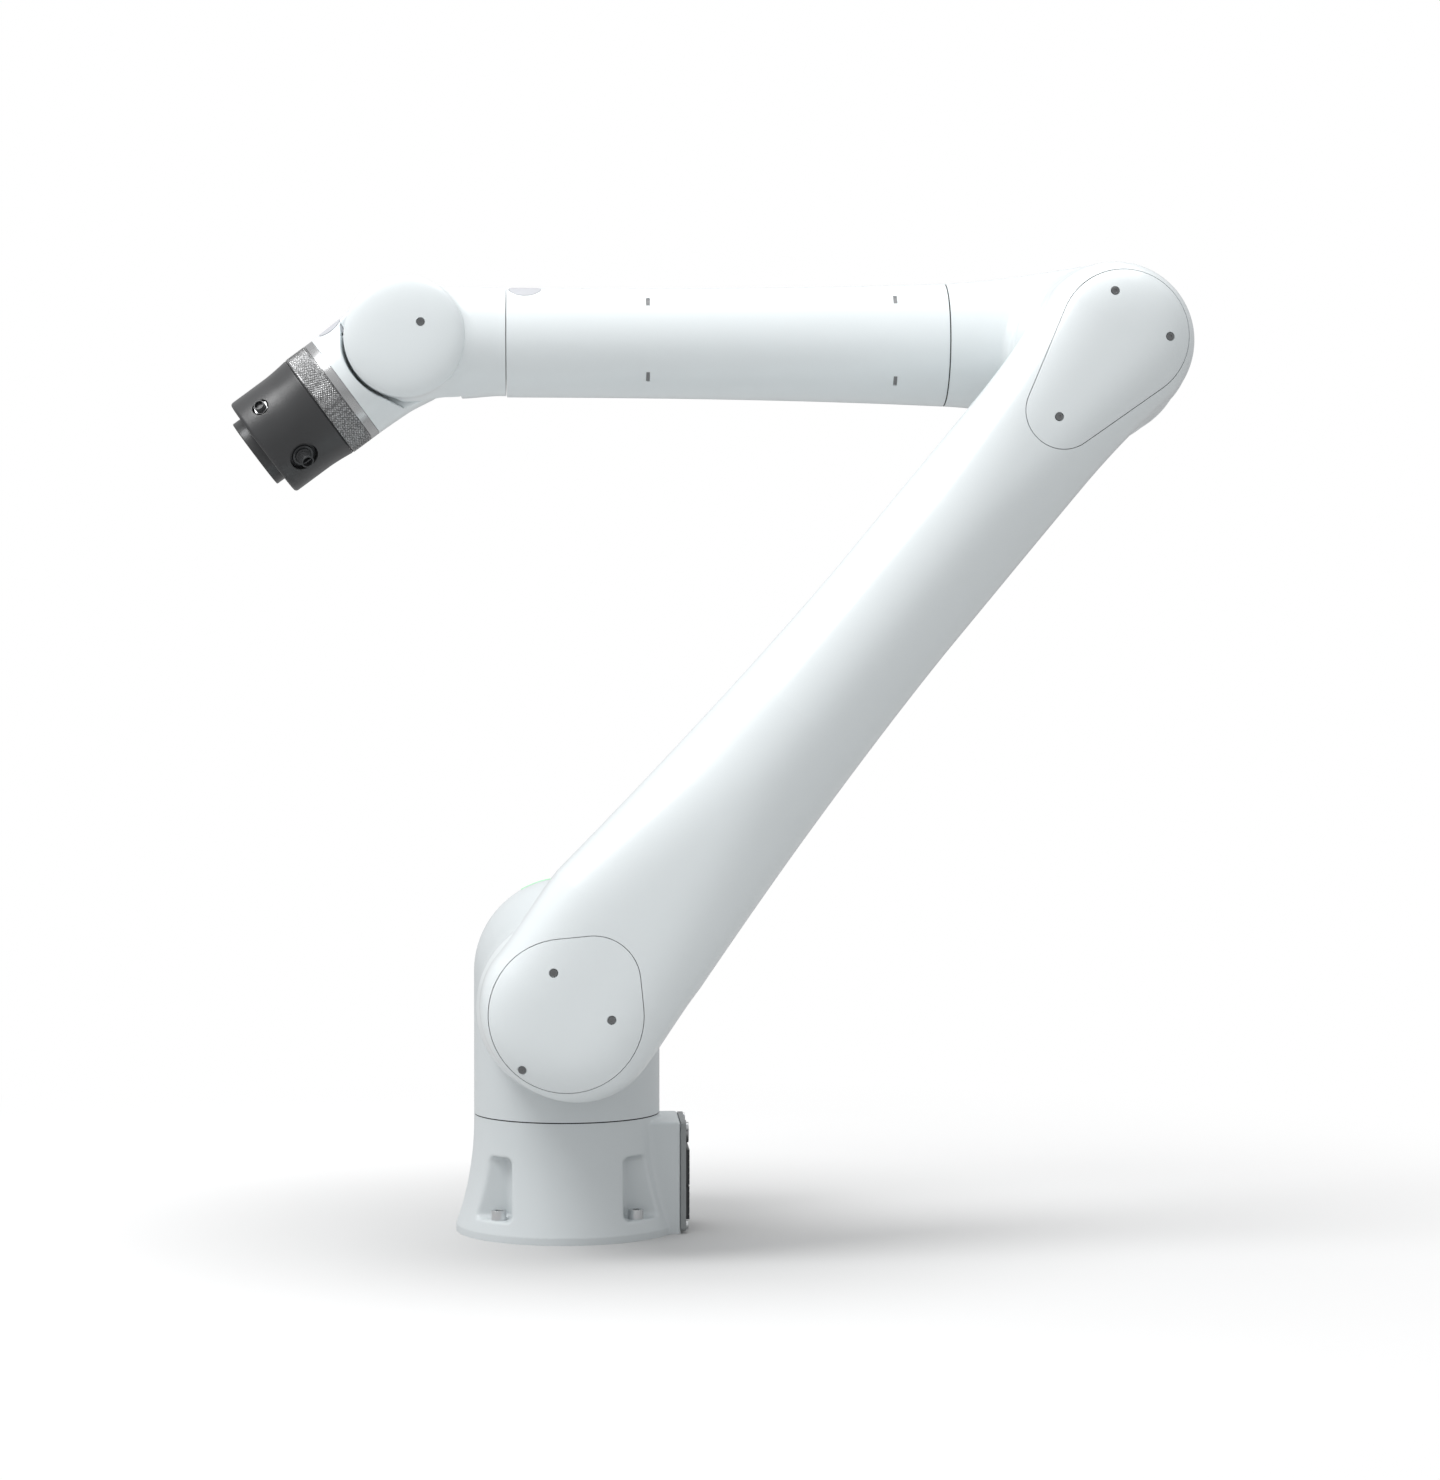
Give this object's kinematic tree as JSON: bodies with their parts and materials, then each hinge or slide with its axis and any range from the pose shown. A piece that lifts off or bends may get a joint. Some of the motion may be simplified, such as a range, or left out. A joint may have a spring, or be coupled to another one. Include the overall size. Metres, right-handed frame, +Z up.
{
  "type": "six-axis collaborative robot arm",
  "caption": "White six-axis articulated robot arm with offset upper arm, flush screwed covers, dark tool housing and ISO tool flange.",
  "frame": {"origin": "centre of the foot's underside, on the first joint's vertical axis, level with the table", "axes": "+Z up along the first joint, +X towards the connector side of the foot, -Y the side that the upper arm is on"},
  "size_m": [0.811, 0.3095, 0.8461],
  "materials": {
    "white_paint": "smooth gloss white powder paint on cast aluminium",
    "light_grey_paint": "smooth satin off-white paint on cast aluminium",
    "panel_grey": "fine matt dark grey",
    "zinc_steel": "bright zinc",
    "dark_steel": "dark stainless",
    "connector_metal": "nickel plated",
    "connector_black": "matt black",
    "contact_brass": "gold plated",
    "drive_steel": "machined",
    "hub_steel": "ground",
    "seal_rubber": "matt",
    "light_lens": "frosted, pale green when lit",
    "clip_grey": "matt",
    "pad_grey": "satin grey",
    "ring_aluminium": "satin",
    "grip_grey": "finely knurled",
    "anodised_black": "black anodised, satin",
    "flange_metal": "hard anodised"
  },
  "bodies": {
    "foot": {"foot_casting": "light_grey_paint", "connector_panel": "panel_grey", "panel_screws": "zinc_steel", "network_socket": "connector_metal", "control_socket": "connector_black", "power_socket": "connector_black", "mounting_screws": "zinc_steel", "foot_drive": "drive_steel", "foot_seal": "seal_rubber"},
    "turret": {"turret_casting": "light_grey_paint", "turret_back_cover": "light_grey_paint", "turret_cover_screws": "dark_steel", "status_light": "light_lens", "turret_hub": "hub_steel", "shoulder_drive": "drive_steel", "shoulder_seal": "seal_rubber"},
    "upper_arm": {"arm_casting": "white_paint", "shoulder_cover": "white_paint", "shoulder_cover_screws": "dark_steel", "shoulder_gasket": "seal_rubber", "elbow_cover": "white_paint", "elbow_cover_screws": "dark_steel", "elbow_gasket": "seal_rubber", "arm_hub": "hub_steel", "elbow_drive": "drive_steel", "elbow_seal": "seal_rubber"},
    "elbow_link": {"elbow_casting": "white_paint", "elbow_back_cover": "white_paint", "elbow_back_screws": "dark_steel", "elbow_hub": "hub_steel", "forearm_drive": "drive_steel", "forearm_seal": "seal_rubber"},
    "forearm": {"forearm_tube": "white_paint", "forearm_clips": "clip_grey", "forearm_pad": "pad_grey", "forearm_hub": "hub_steel", "wrist_fork": "white_paint", "fork_cap": "white_paint", "fork_cap_screw": "dark_steel", "wrist_drive": "drive_steel", "wrist_seal": "seal_rubber"},
    "wrist": {"wrist_casting": "white_paint", "wrist_hub": "hub_steel", "trim_ring": "ring_aluminium", "grip_ring": "grip_grey", "tool_drive": "drive_steel", "tool_seal": "seal_rubber"},
    "button": {"guide_button": "pad_grey"},
    "tool": {"tool_housing": "anodised_black", "tool_flange": "flange_metal", "flange_screws": "dark_steel", "tool_hub": "hub_steel", "sensor_collar": "connector_metal", "sensor_plug_pins": "contact_brass", "gripper_collar": "connector_black", "gripper_socket": "connector_black"}
  },
  "joints": [
    {"name": "base_turn", "type": "hinge", "parent": "foot", "child": "turret", "pos_m": [0, 0, 0.1005], "axis": [0, 0, 1], "range_deg": [-270, 270]},
    {"name": "shoulder_swing", "type": "hinge", "parent": "turret", "child": "upper_arm", "pos_m": [0, -0.086, 0.2], "axis": [0, 1, 0], "range_deg": [-134.2, 55.8]},
    {"name": "elbow_swing", "type": "hinge", "parent": "upper_arm", "child": "elbow_link", "pos_m": [0.44874, -0.086, 0.75021], "axis": [0, 1, 0], "range_deg": [-20.8, 279.2]},
    {"name": "forearm_roll", "type": "hinge", "parent": "elbow_link", "child": "forearm", "pos_m": [0.32674, 0, 0.76421], "axis": [-1, 0, 0], "range_deg": [-270, 270]},
    {"name": "wrist_bend", "type": "hinge", "parent": "forearm", "child": "wrist", "pos_m": [-0.13726, -0.018, 0.76421], "axis": [0, 1, 0], "range_deg": [-29.3, 102.7]},
    {"name": "button_press", "type": "slide", "parent": "wrist", "child": "button", "axis": [0.5773, 0.2588, -0.7745], "range_m": [0, 0.0015], "stiffness_N_per_m": 900, "springref_m": -0.002},
    {"name": "tool_roll", "type": "hinge", "parent": "wrist", "child": "tool", "pos_m": [-0.21222, 0, 0.70833], "axis": [-0.8018, 0, -0.5976], "range_deg": [-360, 360]}
  ]
}
